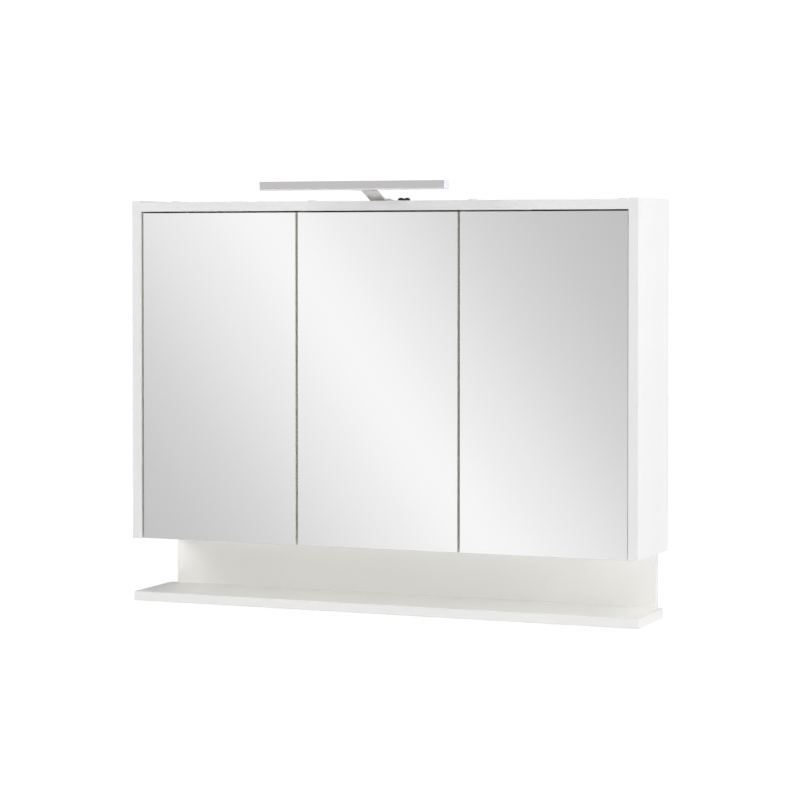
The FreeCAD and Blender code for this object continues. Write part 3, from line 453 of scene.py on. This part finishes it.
def area_light(name, place, width, height, power):
    """A soft panel facing the cabinet; the mirrors show the world's own light instead of it."""
    data = bpy.data.lights.new(name, "AREA")
    data.shape = "RECTANGLE"
    data.size, data.size_y = width, height
    data.energy = power
    data.color = LIGHT_TINT
    obj = bpy.data.objects.new(name, data)
    obj.location = place
    obj.rotation_euler = (LIT_POINT - Vector(place)).to_track_quat("-Z", "Y").to_euler()
    bpy.context.scene.collection.objects.link(obj)
    obj.visible_glossy = False


# The mirrors show one broad soft light far in front of the cabinet. It is brightest along a
# slanted line, the crest, and falls off evenly to both sides. Distances from the crest are slopes:
# how far a direction leans across that line for each unit it goes ahead.
CREST = -0.0243
FALL_OFF = 0.1156
CREST_LEAN = Vector((0.832, 0.555, 0.0))
FALL_OFF_STOPS = (
    (0.0, 0.922), (0.057, 0.913), (0.117, 0.888), (0.2, 0.847), (0.31, 0.799),
    (0.507, 0.694), (0.567, 0.665), (0.777, 0.584), (1.0, 0.533),
)
AHEAD_AT_LEAST = 0.05
AMBIENT = 0.01
BACKDROP = 1.05
REFLECTED = 1.03


class World:
    """The studio's surrounding light, as a small node tree."""

    def __init__(self, name):
        world = bpy.data.worlds.new(name)
        bpy.context.scene.world = world
        world.use_nodes = True
        self.tree = world.node_tree
        self.tree.nodes.clear()
        self.look = self.tree.nodes.new("ShaderNodeTexCoord").outputs["Generated"]
        self.path = self.tree.nodes.new("ShaderNodeLightPath")

    def along(self, direction):
        node = self.tree.nodes.new("ShaderNodeVectorMath")
        node.operation = "DOT_PRODUCT"
        node.inputs[1].default_value = direction
        self.tree.links.new(self.look, node.inputs[0])
        return node.outputs["Value"]

    def maths(self, operation, *values):
        node = self.tree.nodes.new("ShaderNodeMath")
        node.operation = operation
        for socket, value in zip(node.inputs, values):
            if isinstance(value, (int, float)):
                socket.default_value = value
            else:
                self.tree.links.new(value, socket)
        return node.outputs["Value"]

    def light(self, strength, colour=None):
        node = self.tree.nodes.new("ShaderNodeBackground")
        node.inputs["Color"].default_value = (1.0, 1.0, 1.0, 1.0)
        node.inputs["Strength"].default_value = strength
        if colour:
            self.tree.links.new(colour, node.inputs["Color"])
        return node.outputs["Background"]

    def choose(self, ray, otherwise, chosen):
        """The chosen light for rays of one kind, the other light for all the rest."""
        node = self.tree.nodes.new("ShaderNodeMixShader")
        self.tree.links.new(self.path.outputs[ray], node.inputs["Fac"])
        self.tree.links.new(otherwise, node.inputs[1])
        self.tree.links.new(chosen, node.inputs[2])
        return node.outputs["Shader"]

    def crest_light(self, ahead, across):
        """Grey by distance from the crest, for directions seen in the mirrors."""
        forward = self.maths("MAXIMUM", self.along(ahead), AHEAD_AT_LEAST)
        slope = self.maths("DIVIDE", self.along(across), forward)
        away = self.maths("ABSOLUTE", self.maths("SUBTRACT", slope, CREST))
        ramp = self.tree.nodes.new("ShaderNodeValToRGB")
        elements = ramp.color_ramp.elements
        while len(elements) < len(FALL_OFF_STOPS):
            elements.new(0.5)
        for element, (at, grey) in zip(elements, FALL_OFF_STOPS):
            element.position = at
            element.color = (grey, grey, grey, 1.0)
        self.tree.links.new(self.maths("DIVIDE", away, FALL_OFF), ramp.inputs["Fac"])
        return ramp.outputs["Color"]


def studio_world():
    """Pale backdrop for the camera, the slanted soft light for mirrors, a little fill for the rest."""
    world = World("studio_light")
    turn = Euler(CAMERA_TURN).to_matrix()
    flip = Matrix.Diagonal((1.0, -1.0, 1.0))
    ahead = flip @ turn @ Vector((0.0, 0.0, -1.0))
    across = flip @ turn @ CREST_LEAN
    reflected = world.light(REFLECTED, world.crest_light(ahead, across))
    unseen = world.choose("Is Glossy Ray", world.light(AMBIENT), reflected)
    seen = world.choose("Is Camera Ray", unseen, world.light(BACKDROP))
    out = world.tree.nodes.new("ShaderNodeOutputWorld")
    world.tree.links.new(seen, out.inputs["Surface"])


studio_floor()
studio_world()
for light in LIGHTS:
    area_light(*light)

camera = bpy.data.objects.new("camera", bpy.data.cameras.new("camera"))
camera.location = CAMERA_PLACE
camera.rotation_euler = CAMERA_TURN
camera.data.lens = CAMERA_LENS
camera.data.sensor_width = CAMERA_SENSOR
camera.data.shift_y = CAMERA_SHIFT_Y
camera.data.clip_start, camera.data.clip_end = CAMERA_REACH
bpy.context.scene.collection.objects.link(camera)
bpy.context.scene.camera = camera
bpy.context.scene.view_settings.view_transform = "Standard"
